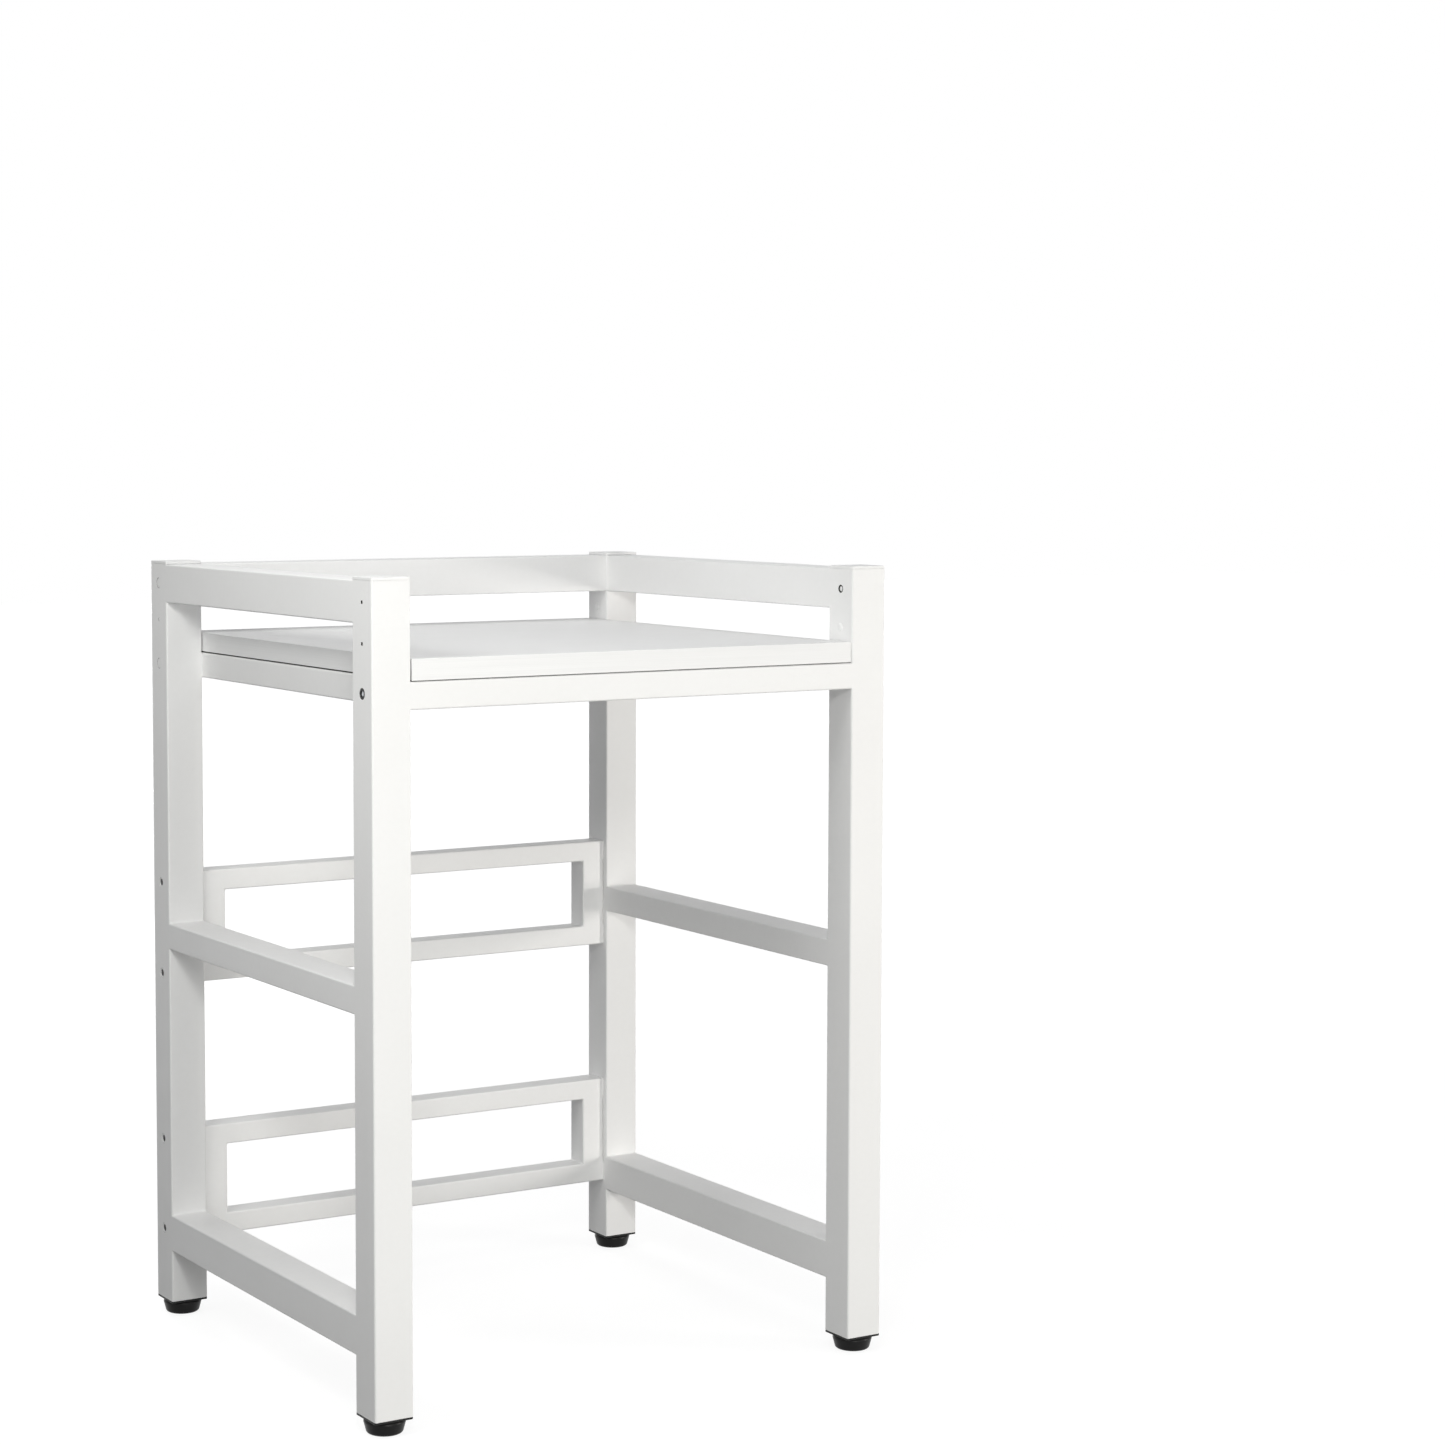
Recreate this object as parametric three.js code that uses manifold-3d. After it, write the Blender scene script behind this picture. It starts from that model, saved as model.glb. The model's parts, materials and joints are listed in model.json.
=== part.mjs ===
// Stacking stand for two household machines: one stands on the floor inside the frame,
// the other on a shelf above it. Millimetres, +Z up, front towards -Y.
// The origin is on the floor, under the middle of the frame.

import * as THREE from "three";
import { mergeVertices } from "three/addons/utils/BufferGeometryUtils.js";
import Module from "manifold-3d";

const wasm = await Module();
wasm.setup();

// Frame outline
const FRAME_WIDTH = 790; // over the outer faces of the legs
const FRAME_DEPTH = 705; // over the front and rear faces of the legs

// Steel tube
const LEG_SIZE = 55; // side of the legs' square section
const LEG_LENGTH = 1071; // cut length of a leg
const TUBE_WALL = 2;
const TUBE_EDGE = 2.5; // outer corner radius of every tube
const JOINT_GAP = 0.1; // left between two faces that are welded or bolted together

// Side ladders: rails welded between a front leg and a rear leg
const GUARD_HEIGHT = 55; // the guard rails finish level with the legs' upper ends
const MIDDLE_RAIL_DROP = 391; // from the shelf bed's underside down to the rail's underside
const MIDDLE_RAIL_HEIGHT = 38;
const BOTTOM_RAIL_RISE = 74.5; // from the legs' lower ends up to the rail's underside
const BOTTOM_RAIL_HEIGHT = 53;

// Shelf: a welded bed of four rails and a cross bar, with a board on it
const SHELF_DROP = 164; // from the legs' upper ends down to the bed's underside
const SHELF_HEIGHT = 36;
const SHELF_SIDE_WIDTH = 37;
const CROSS_BAR_WIDTH = 40;
const SHELF_BOLT_RISE = 21; // bolt axis above the bed's underside
const BOARD_THICKNESS = 28.5;
const BOARD_CORNER = 1; // rounding of the board's corners, seen from above
const BOARD_EASE = 0.5; // easing of its long edges
const BOARD_END_GAP = 1.5; // from each end of the board to the legs
const BOARD_SEAT_GAP = 0.3;

// Rear panels: two short ladders bolted between the rear legs
const UPPER_PANEL_DROP = 296.5; // from the shelf bed's underside down to its top rail's bolts
const LOWER_PANEL_RISE = 103.5; // from the legs' lower ends up to its bottom rail's bolts
const PANEL_PITCH = 132; // from the top rail's bolts to the bottom rail's bolts
const PANEL_RAIL_HEIGHT = 30;
const PANEL_DEPTH = 38;
const PANEL_UPRIGHT_WIDTH = 37;

// Bolts, driven from inside the legs through access holes in their outer walls
const BOLT_SIZE = 8;
const BOLT_LENGTH = 20;
const BOLT_HEAD_SIZE = 13;
const BOLT_HEAD_HEIGHT = 8;
const BOLT_HEAD_EDGE = 1;
const BOLT_SOCKET = 6; // across the flats of the hexagon
const BOLT_SOCKET_DEPTH = 4;
const BOLT_CLEARANCE = 0.25; // round the shank
const ACCESS_HOLE_SIZE = 15;
const END_PLATE = 5; // thickness of the plate that closes a bolted rail

// Spare fixing holes in the legs
const SPARE_HOLE_DROP = 80; // from the legs' upper ends down to the lower spare holes
const PILOT_HOLE_SIZE = 5; // in the outer wall
const SPARE_HOLE_SIZE = 11; // in the inner wall, at guard height
const PLUG_STEM_SIZE = 8; // of the plug in the lower spare hole
const PLUG_STEM_LENGTH = 5;
const PLUG_HEAD_SIZE = 11;
const PLUG_HEAD_HEIGHT = 1.2;
const PLUG_CLEARANCE = 0.2;

// Leg caps and foot inserts, both pushed into the ends of the legs
const CAP_THICKNESS = 4;
const CAP_SKIRT = 15;
const INSERT_FLANGE = 3;
const INSERT_DEPTH = 25;
const INSERT_BOSS_SIZE = 28;
const PLASTIC_WALL = 2;
const PLASTIC_EDGE = 0.6; // small rounding of the visible plates
const PUSH_FIT = 0.2; // between the tube's bore and what is pushed into it

// Levelling feet: a pad that stays still on the floor and a stud that turns in it
const THREAD_SIZE = 12;
const THREAD_CLEARANCE = 0.3;
const THREAD_CHAMFER = 1; // at the stud's tip
const STUD_REACH = 62; // from the collar's underside to the stud's tip
const STUD_COLLAR_SIZE = 22;
const STUD_COLLAR_HEIGHT = 3;
const STUD_HEX = 17; // across the flats
const STUD_HEX_HEIGHT = 6;
const STUD_HEX_CLEARANCE = 0.6; // round the hexagon's corners, in the insert
const PAD_HEIGHT = 19;
const PAD_SOLE_SIZE = 47;
const PAD_SOLE_EDGE = 3.5;
const PAD_SIZE = 55; // widest, just under the rounded shoulder
const PAD_SHOULDER = 4;
const PAD_FLOOR = 13; // thickness under the stud's collar
const PAD_MOUTH_SIZE = 16;
const FOOT_GAP = 0.4; // between the foot's moving pieces

// Steps of the round shapes
const CORNER_STEPS = 1;
const HOLE_SIDES = 12;
const BOLT_SIDES = 12;
const STUD_SIDES = 16;
const PAD_SIDES = 24;

// Sizes that follow from those above
const legX = (FRAME_WIDTH - LEG_SIZE) / 2;
const legY = (FRAME_DEPTH - LEG_SIZE) / 2;
const legBottom = PAD_HEIGHT + FOOT_GAP + INSERT_FLANGE + JOINT_GAP;
const legTop = legBottom + LEG_LENGTH;
const innerWidth = FRAME_WIDTH - 2 * LEG_SIZE;
const innerDepth = FRAME_DEPTH - 2 * LEG_SIZE;
const tubeBore = LEG_SIZE - 2 * TUBE_WALL;

// Heights above the legs' lower ends
const guardAxis = LEG_LENGTH - GUARD_HEIGHT / 2;
const spareHoleAxis = LEG_LENGTH - SPARE_HOLE_DROP;
const shelfUnderside = LEG_LENGTH - SHELF_DROP;
const middleRailUnderside = shelfUnderside - MIDDLE_RAIL_DROP;
const upperPanelAxis = shelfUnderside - UPPER_PANEL_DROP;
const lowerPanelAxis = LOWER_PANEL_RISE + PANEL_PITCH;
const boltAxes = {
  shelf: shelfUnderside + SHELF_BOLT_RISE,
  guard: guardAxis,
  upper_panel_top: upperPanelAxis,
  upper_panel_bottom: upperPanelAxis - PANEL_PITCH,
  lower_panel_top: lowerPanelAxis,
  lower_panel_bottom: lowerPanelAxis - PANEL_PITCH,
};

// Directions along X and along Y
const LEFT = -1;
const RIGHT = 1;
const FRONT = -1;
const REAR = 1;

// Finishes
const powderCoat = new THREE.MeshStandardMaterial({ color: 0xf2f2f0, roughness: 0.42, metalness: 0.1 });
const laminate = new THREE.MeshStandardMaterial({ color: 0xf6f6f4, roughness: 0.5 });
const whitePlastic = new THREE.MeshStandardMaterial({ color: 0xeeeeec, roughness: 0.5 });
const blackPlastic = new THREE.MeshStandardMaterial({ color: 0x1c1c1d, roughness: 0.55 });
const zincSteel = new THREE.MeshStandardMaterial({ color: 0xb9bbbe, roughness: 0.35, metalness: 0.9 });

// Joining and cutting closed geometries

function solidOf(geometry) {
  const bare = geometry.clone();
  bare.deleteAttribute("normal");
  bare.deleteAttribute("uv");
  const merged = mergeVertices(bare);
  return new wasm.Manifold(
    new wasm.Mesh({
      numProp: 3,
      vertProperties: merged.attributes.position.array,
      triVerts: new Uint32Array(merged.index.array),
    }),
  );
}

function geometryOf(solid) {
  const { vertProperties, triVerts } = solid.getMesh();
  const geometry = new THREE.BufferGeometry();
  geometry.setAttribute("position", new THREE.Float32BufferAttribute(vertProperties, 3));
  geometry.setIndex(new THREE.Uint32BufferAttribute(triVerts, 1));
  geometry.computeVertexNormals();
  return geometry;
}

function joined(...geometries) {
  const solids = geometries.map(solidOf);
  return geometryOf(solids.reduce((whole, piece) => whole.add(piece)));
}

function cut(geometry, cutters) {
  const solids = cutters.map(solidOf);
  return geometryOf(solids.reduce((rest, cutter) => rest.subtract(cutter), solidOf(geometry)));
}

// Basic shapes, centred on the origin across their section

function roundedOutline(Outline, width, depth, radius) {
  const outline = new Outline();
  const x = width / 2 - radius;
  const y = depth / 2 - radius;
  const corners = [
    [x, y],
    [-x, y],
    [-x, -y],
    [x, -y],
  ];
  corners.forEach(([cornerX, cornerY], quarter) => {
    const start = (quarter * Math.PI) / 2;
    outline.absarc(cornerX, cornerY, radius, start, start + Math.PI / 2);
  });
  outline.closePath();
  return outline;
}

function rectangle(Outline, width, depth) {
  const points = [
    new THREE.Vector2(width / 2, depth / 2),
    new THREE.Vector2(-width / 2, depth / 2),
    new THREE.Vector2(-width / 2, -depth / 2),
    new THREE.Vector2(width / 2, -depth / 2),
  ];
  return new Outline(points);
}

function extruded(shape, height) {
  const options = { depth: height, bevelEnabled: false, curveSegments: CORNER_STEPS };
  return new THREE.ExtrudeGeometry(shape, options);
}

// A plate of rounded outline whose upper and lower edges are eased, its underside at z = 0
function easedPlate(width, depth, height, radius, edge) {
  return new THREE.ExtrudeGeometry(roundedOutline(THREE.Shape, width, depth, radius), {
    depth: height - 2 * edge,
    bevelThickness: edge,
    bevelSize: edge,
    bevelOffset: -edge,
    bevelSegments: 2,
    curveSegments: CORNER_STEPS,
  }).translate(0, 0, edge);
}

// A tube along Z, open at both ends
function openTube(width, depth, length) {
  const section = roundedOutline(THREE.Shape, width, depth, TUBE_EDGE);
  section.holes.push(rectangle(THREE.Path, width - 2 * TUBE_WALL, depth - 2 * TUBE_WALL));
  return extruded(section, length);
}

function cylinderAlongX(size, length, sides) {
  return new THREE.CylinderGeometry(size / 2, size / 2, length, sides).rotateZ(Math.PI / 2);
}

function cylinderAlongZ(size, length, sides) {
  return new THREE.CylinderGeometry(size / 2, size / 2, length, sides).rotateX(Math.PI / 2);
}

// A hexagonal prism along Z, given across its flats
function hexPrism(flats, height) {
  return cylinderAlongZ(flats / Math.cos(Math.PI / 6), height, 6);
}

// Rails

// A rail along Y, centred, as wide as a leg
function sideRail(width, height, length) {
  const tube = openTube(width, height, length);
  return tube.translate(0, 0, -length / 2).rotateX(-Math.PI / 2);
}

// A rail along X, centred, open at both ends
function crossRail(height, depth, length) {
  const tube = openTube(height, depth, length);
  return tube.translate(0, 0, -length / 2).rotateY(Math.PI / 2);
}

// A rail along X whose ends are closed by plates tapped for a bolt
function boltedRail(height, depth, length, boltRise) {
  const bar = extruded(roundedOutline(THREE.Shape, height, depth, TUBE_EDGE), length);
  bar.translate(0, 0, -length / 2).rotateY(Math.PI / 2);
  const hollow = new THREE.BoxGeometry(length - 2 * END_PLATE, depth - 2 * TUBE_WALL, height - 2 * TUBE_WALL);
  const holes = [LEFT, RIGHT].map((side) =>
    cylinderAlongX(BOLT_SIZE + 2 * BOLT_CLEARANCE, 3 * END_PLATE, HOLE_SIDES).translate(
      (side * length) / 2,
      0,
      boltRise - height / 2,
    ),
  );
  return cut(bar, [hollow, ...holes]);
}

// Legs

// A hole in one wall of a leg; side is the wall's direction along X
function wallHole(size, side, height) {
  const hole = cylinderAlongX(size, 3 * TUBE_WALL, HOLE_SIDES);
  return hole.translate((side * (LEG_SIZE - TUBE_WALL)) / 2, 0, height);
}

// The front legs have only the shelf's bolts, the rear legs have them all
function boltsIn(end) {
  return Object.entries(boltAxes).filter(([name]) => end === REAR || name === "shelf");
}

function leg(side, end) {
  const boltHoles = boltsIn(end).flatMap(([, height]) => [
    wallHole(ACCESS_HOLE_SIZE, side, height),
    wallHole(BOLT_SIZE + 2 * BOLT_CLEARANCE, -side, height),
  ]);
  const spareHoles = [
    wallHole(PILOT_HOLE_SIZE, side, spareHoleAxis),
    wallHole(PLUG_STEM_SIZE + 2 * PLUG_CLEARANCE, -side, spareHoleAxis),
  ];
  if (end === FRONT) {
    spareHoles.push(wallHole(PILOT_HOLE_SIZE, side, guardAxis));
    spareHoles.push(wallHole(SPARE_HOLE_SIZE, -side, guardAxis));
  }
  return cut(openTube(LEG_SIZE, LEG_SIZE, LEG_LENGTH), [...boltHoles, ...spareHoles]);
}

// Fasteners and plugs

// A socket head bolt whose shank points along +X from the head's underside at x = 0
function bolt() {
  const head = BOLT_HEAD_SIZE / 2;
  const shank = BOLT_SIZE / 2;
  const profile = [
    [0, -BOLT_HEAD_HEIGHT],
    [head - BOLT_HEAD_EDGE, -BOLT_HEAD_HEIGHT],
    [head, BOLT_HEAD_EDGE - BOLT_HEAD_HEIGHT],
    [head, 0],
    [shank, 0],
    [shank, BOLT_LENGTH - BOLT_HEAD_EDGE],
    [shank - BOLT_HEAD_EDGE, BOLT_LENGTH],
    [0, BOLT_LENGTH],
  ];
  const body = new THREE.LatheGeometry(
    profile.map(([radius, along]) => new THREE.Vector2(radius, along)),
    BOLT_SIDES,
  ).rotateX(Math.PI / 2);
  const socket = hexPrism(BOLT_SOCKET, 2 * BOLT_SOCKET_DEPTH).translate(0, 0, -BOLT_HEAD_HEIGHT);
  return cut(body, [socket]).rotateY(Math.PI / 2);
}

// A push-in plug whose stem points along +X from the head's underside at x = 0
function holePlug() {
  const profile = [
    [0, -PLUG_HEAD_HEIGHT],
    [PLUG_HEAD_SIZE / 2 - PLUG_HEAD_HEIGHT, -PLUG_HEAD_HEIGHT],
    [PLUG_HEAD_SIZE / 2, 0],
    [PLUG_STEM_SIZE / 2, 0],
    [PLUG_STEM_SIZE / 2, PLUG_STEM_LENGTH],
    [0, PLUG_STEM_LENGTH],
  ];
  const points = profile.map(([radius, along]) => new THREE.Vector2(radius, along));
  return new THREE.LatheGeometry(points, BOLT_SIDES).rotateZ(-Math.PI / 2);
}

// Leg ends

// A square skirt that fits the leg's bore, from z = 0 up
function boreSkirt(height) {
  const size = tubeBore - 2 * PUSH_FIT;
  const section = rectangle(THREE.Shape, size, size);
  section.holes.push(rectangle(THREE.Path, size - 2 * PLASTIC_WALL, size - 2 * PLASTIC_WALL));
  return extruded(section, height);
}

// The cap's plate starts at z = 0 and its skirt hangs below
function legCap() {
  const plate = easedPlate(LEG_SIZE, LEG_SIZE, CAP_THICKNESS, TUBE_EDGE, PLASTIC_EDGE);
  return joined(plate, boreSkirt(CAP_SKIRT + PLASTIC_EDGE).translate(0, 0, -CAP_SKIRT));
}

// The insert's flange ends at z = 0, and its skirt, ribs and threaded boss stand above
function footInsert() {
  const flange = easedPlate(LEG_SIZE, LEG_SIZE, INSERT_FLANGE, TUBE_EDGE, PLASTIC_EDGE);
  flange.translate(0, 0, -INSERT_FLANGE);
  const rise = INSERT_DEPTH + PLASTIC_EDGE;
  const middle = INSERT_DEPTH - rise / 2;
  const span = tubeBore - 2 * PUSH_FIT - PLASTIC_WALL;
  const whole = joined(
    flange,
    boreSkirt(rise).translate(0, 0, -PLASTIC_EDGE),
    cylinderAlongZ(INSERT_BOSS_SIZE, rise, STUD_SIDES).translate(0, 0, middle),
    new THREE.BoxGeometry(span, PLASTIC_WALL, rise).translate(0, 0, middle),
    new THREE.BoxGeometry(PLASTIC_WALL, span, rise).translate(0, 0, middle),
  );
  const bore = cylinderAlongZ(THREAD_SIZE + 2 * THREAD_CLEARANCE, 3 * INSERT_DEPTH, STUD_SIDES);
  const hexCorners = STUD_HEX / Math.cos(Math.PI / 6);
  const recessHeight = FOOT_GAP + STUD_HEX_HEIGHT + FOOT_GAP;
  const recess = cylinderAlongZ(hexCorners + 2 * STUD_HEX_CLEARANCE, 2 * recessHeight, STUD_SIDES);
  return cut(whole, [bore, recess.translate(0, 0, -INSERT_FLANGE)]);
}

// Levelling foot, with z = 0 on the floor

function stud() {
  const collarBottom = PAD_FLOOR + FOOT_GAP;
  const collarTop = collarBottom + STUD_COLLAR_HEIGHT;
  const tip = collarBottom + STUD_REACH;
  const rod = THREAD_SIZE / 2;
  const profile = [
    [0, collarBottom],
    [STUD_COLLAR_SIZE / 2, collarBottom],
    [STUD_COLLAR_SIZE / 2, collarTop],
    [rod, collarTop],
    [rod, tip - THREAD_CHAMFER],
    [rod - THREAD_CHAMFER, tip],
    [0, tip],
  ];
  const turned = new THREE.LatheGeometry(
    profile.map(([radius, height]) => new THREE.Vector2(radius, height)),
    STUD_SIDES,
  ).rotateX(Math.PI / 2);
  const hex = hexPrism(STUD_HEX, STUD_HEX_HEIGHT);
  return joined(turned, hex.translate(0, 0, PAD_HEIGHT + 2 * FOOT_GAP + STUD_HEX_HEIGHT / 2));
}

function footPad() {
  const sole = PAD_SOLE_SIZE / 2;
  const widest = PAD_SIZE / 2;
  const recess = STUD_COLLAR_SIZE / 2 + 2 * FOOT_GAP;
  const lip = PAD_FLOOR + 2 * FOOT_GAP + STUD_COLLAR_HEIGHT;
  const profile = new THREE.Path();
  profile.moveTo(0, 0);
  profile.lineTo(sole - PAD_SOLE_EDGE, 0);
  profile.absarc(sole - PAD_SOLE_EDGE, PAD_SOLE_EDGE, PAD_SOLE_EDGE, -Math.PI / 2, 0);
  profile.absarc(widest - PAD_SHOULDER, PAD_HEIGHT - PAD_SHOULDER, PAD_SHOULDER, 0, Math.PI / 2);
  profile.lineTo(PAD_MOUTH_SIZE / 2, PAD_HEIGHT);
  profile.lineTo(PAD_MOUTH_SIZE / 2, lip);
  profile.lineTo(recess, lip);
  profile.lineTo(recess, PAD_FLOOR);
  profile.lineTo(0, PAD_FLOOR);
  return new THREE.LatheGeometry(profile.getPoints(CORNER_STEPS), PAD_SIDES).rotateX(Math.PI / 2);
}

// Assembly

function add(group, name, geometry, material, x = 0, y = 0, z = 0) {
  const mesh = new THREE.Mesh(geometry, material);
  mesh.name = name;
  mesh.position.set(x, y, z);
  group.add(mesh);
  return mesh;
}

const sideName = (side) => (side === LEFT ? "left" : "right");
const endName = (end) => (end === FRONT ? "front" : "rear");

function addLegParts(group, side, end) {
  const name = `${endName(end)}_${sideName(side)}`;
  const x = side * legX;
  const y = end * legY;
  add(group, `leg_${name}`, leg(side, end), powderCoat, x, y, legBottom);
  add(group, `leg_cap_${name}`, legCap(), whitePlastic, x, y, legTop + JOINT_GAP);
  const plug = holePlug();
  if (side === LEFT) plug.rotateZ(Math.PI);
  const plugX = side * (innerWidth / 2 - JOINT_GAP);
  add(group, `hole_plug_${name}`, plug, whitePlastic, plugX, y, legBottom + spareHoleAxis);
  add(group, `foot_insert_${name}`, footInsert(), blackPlastic, x, y, legBottom - JOINT_GAP);
  add(group, `foot_stud_${name}`, stud(), zincSteel, x, y);
  add(group, `foot_pad_${name}`, footPad(), blackPlastic, x, y);
}

function addSideRails(group, side) {
  const rails = [
    ["guard_rail", LEG_LENGTH - GUARD_HEIGHT, GUARD_HEIGHT],
    ["middle_rail", middleRailUnderside, MIDDLE_RAIL_HEIGHT],
    ["bottom_rail", BOTTOM_RAIL_RISE, BOTTOM_RAIL_HEIGHT],
  ];
  for (const [kind, bottom, height] of rails) {
    const rail = sideRail(LEG_SIZE, height, innerDepth - 2 * JOINT_GAP);
    const z = legBottom + bottom + height / 2;
    add(group, `${kind}_${sideName(side)}`, rail, powderCoat, side * legX, 0, z);
  }
}

function sideLadder(side) {
  const ladder = new THREE.Group();
  addLegParts(ladder, side, FRONT);
  addLegParts(ladder, side, REAR);
  addSideRails(ladder, side);
  return ladder;
}

function shelf() {
  const group = new THREE.Group();
  group.position.z = legBottom + shelfUnderside;
  const middle = SHELF_HEIGHT / 2;
  const boltedLength = innerWidth - 2 * JOINT_GAP;
  for (const end of [FRONT, REAR]) {
    const rail = boltedRail(SHELF_HEIGHT, LEG_SIZE, boltedLength, SHELF_BOLT_RISE);
    add(group, `shelf_rail_${endName(end)}`, rail, powderCoat, 0, end * legY, middle);
  }
  for (const side of [LEFT, RIGHT]) {
    const rail = sideRail(SHELF_SIDE_WIDTH, SHELF_HEIGHT, innerDepth - 2 * JOINT_GAP);
    const x = side * (innerWidth / 2 - JOINT_GAP - SHELF_SIDE_WIDTH / 2);
    add(group, `shelf_rail_${sideName(side)}`, rail, powderCoat, x, 0, middle);
  }
  const barLength = innerWidth - 2 * (SHELF_SIDE_WIDTH + 2 * JOINT_GAP);
  const bar = crossRail(SHELF_HEIGHT, CROSS_BAR_WIDTH, barLength);
  add(group, "shelf_cross_bar", bar, powderCoat, 0, 0, middle);
  const boardWidth = innerWidth - 2 * BOARD_END_GAP;
  const board = easedPlate(boardWidth, FRAME_DEPTH, BOARD_THICKNESS, BOARD_CORNER, BOARD_EASE);
  add(group, "shelf_board", board, laminate, 0, 0, SHELF_HEIGHT + BOARD_SEAT_GAP);
  return group;
}

function rearPanel(name, topAxis) {
  const group = new THREE.Group();
  group.position.set(0, legY, legBottom + topAxis - PANEL_PITCH);
  const boltedLength = innerWidth - 2 * JOINT_GAP;
  const rows = [
    ["bottom", 0],
    ["top", PANEL_PITCH],
  ];
  for (const [row, z] of rows) {
    const rail = boltedRail(PANEL_RAIL_HEIGHT, PANEL_DEPTH, boltedLength, PANEL_RAIL_HEIGHT / 2);
    add(group, `${name}_rail_${row}`, rail, powderCoat, 0, 0, z);
  }
  const uprightLength = PANEL_PITCH - PANEL_RAIL_HEIGHT - 2 * JOINT_GAP;
  for (const side of [LEFT, RIGHT]) {
    const upright = openTube(PANEL_UPRIGHT_WIDTH, PANEL_DEPTH, uprightLength);
    const x = side * (innerWidth / 2 - JOINT_GAP - PANEL_UPRIGHT_WIDTH / 2);
    const z = PANEL_RAIL_HEIGHT / 2 + JOINT_GAP;
    add(group, `${name}_upright_${sideName(side)}`, upright, powderCoat, x, 0, z);
  }
  return group;
}

function rearGuard() {
  const rail = boltedRail(GUARD_HEIGHT, LEG_SIZE, innerWidth - 2 * JOINT_GAP, GUARD_HEIGHT / 2);
  const group = new THREE.Group();
  add(group, "guard_rail_rear", rail, powderCoat, 0, legY, legBottom + guardAxis);
  return group;
}

function bolts() {
  const group = new THREE.Group();
  const headX = innerWidth / 2 + TUBE_WALL + JOINT_GAP;
  for (const side of [LEFT, RIGHT]) {
    for (const end of [FRONT, REAR]) {
      for (const [joint, height] of boltsIn(end)) {
        const piece = bolt();
        if (side === RIGHT) piece.rotateZ(Math.PI);
        const name = `bolt_${joint}_${endName(end)}_${sideName(side)}`;
        add(group, name, piece, zincSteel, side * headX, end * legY, legBottom + height);
      }
    }
  }
  return group;
}

const stand = new THREE.Group();
stand.add(sideLadder(LEFT), sideLadder(RIGHT));
stand.add(shelf());
stand.add(rearGuard());
stand.add(rearPanel("upper_panel", upperPanelAxis));
stand.add(rearPanel("lower_panel", lowerPanelAxis));
stand.add(bolts());

export default stand;
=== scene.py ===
import itertools
import json
import math

import bmesh
import bpy
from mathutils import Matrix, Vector


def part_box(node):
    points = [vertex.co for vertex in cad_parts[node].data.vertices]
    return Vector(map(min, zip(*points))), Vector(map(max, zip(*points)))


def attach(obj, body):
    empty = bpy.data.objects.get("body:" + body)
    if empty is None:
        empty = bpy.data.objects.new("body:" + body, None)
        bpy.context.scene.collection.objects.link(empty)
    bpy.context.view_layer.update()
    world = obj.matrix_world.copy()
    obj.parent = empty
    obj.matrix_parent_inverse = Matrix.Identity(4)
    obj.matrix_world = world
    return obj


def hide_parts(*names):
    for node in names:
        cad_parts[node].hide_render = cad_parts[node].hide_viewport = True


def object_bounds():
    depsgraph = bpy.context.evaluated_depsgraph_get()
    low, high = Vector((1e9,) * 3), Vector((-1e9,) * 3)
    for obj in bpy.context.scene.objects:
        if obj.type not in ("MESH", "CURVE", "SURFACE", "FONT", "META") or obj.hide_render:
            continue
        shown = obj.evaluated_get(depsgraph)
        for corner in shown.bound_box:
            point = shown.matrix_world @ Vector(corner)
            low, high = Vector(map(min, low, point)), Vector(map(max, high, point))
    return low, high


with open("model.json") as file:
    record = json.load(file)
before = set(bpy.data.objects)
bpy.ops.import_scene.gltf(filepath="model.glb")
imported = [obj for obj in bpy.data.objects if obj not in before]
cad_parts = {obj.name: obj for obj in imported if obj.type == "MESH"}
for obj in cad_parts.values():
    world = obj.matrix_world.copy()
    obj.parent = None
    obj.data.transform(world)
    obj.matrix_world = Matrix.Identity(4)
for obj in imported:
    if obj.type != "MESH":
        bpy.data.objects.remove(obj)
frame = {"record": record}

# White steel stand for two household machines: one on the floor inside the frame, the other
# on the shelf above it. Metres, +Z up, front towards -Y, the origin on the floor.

cad_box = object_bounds()

# Steel tube
TUBE_WALL = 0.002
TUBE_EDGE = 0.0025  # outer corner radius
EDGE_STEPS = 5
JOINT_GAP = 0.0001  # between welded or bolted faces in the solids
JOINT_LINE = 0.0003  # left open beside a leg where a bolted rail fills its rounded corner
END_PLATE = 0.005
WELD = 0.0014  # height of the dressed beads in the inner corners of the welded joints
WELD_SINK = 0.0003

# Holes
HOLE_SIDES = 48
HOLE_EASE = 0.0003
ACCESS_HOLE = 0.015
BOLT_HOLE = 0.0085
PILOT_HOLE = 0.005
SPARE_HOLE = 0.011
PLUG_HOLE = 0.0084

# Covers, sleeves and pins in the legs' holes
COVER_GAP = 0.0003  # round a cover in an access hole
PILOT_COVER_GAP = 0.0002
COVER_RECESS = 0.0002  # below the leg's face, for sleeves and pins too
COVER_EDGE = 0.0014
COVER_DEPTH = 0.005
COVER_CROWN = 0.00015  # the middle stands this much above the rim
STEM_STEP = 0.0012  # from a cover's rim in to its stem
COVER_RIBS = 3
RIB_WIDTH = 0.001
GRIP_GAP = 0.00005  # ribs and sleeves nearly touch the hole
SLEEVE_DEPTH = 0.006
SLEEVE_WALL = 0.0008  # at its lower end
SLEEVE_EASE = 0.0003
POCKET_DEPTH = 0.0035
POCKET_GAP = 0.0001  # round a pin in its sleeve
PIN_SIZE = 0.0075  # in the front legs
REAR_PIN_SIZE = 0.0102  # at the rear panels' bolts
PLUG_STEM = 0.004  # radius
PLUG_SLOT = 0.001

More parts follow.
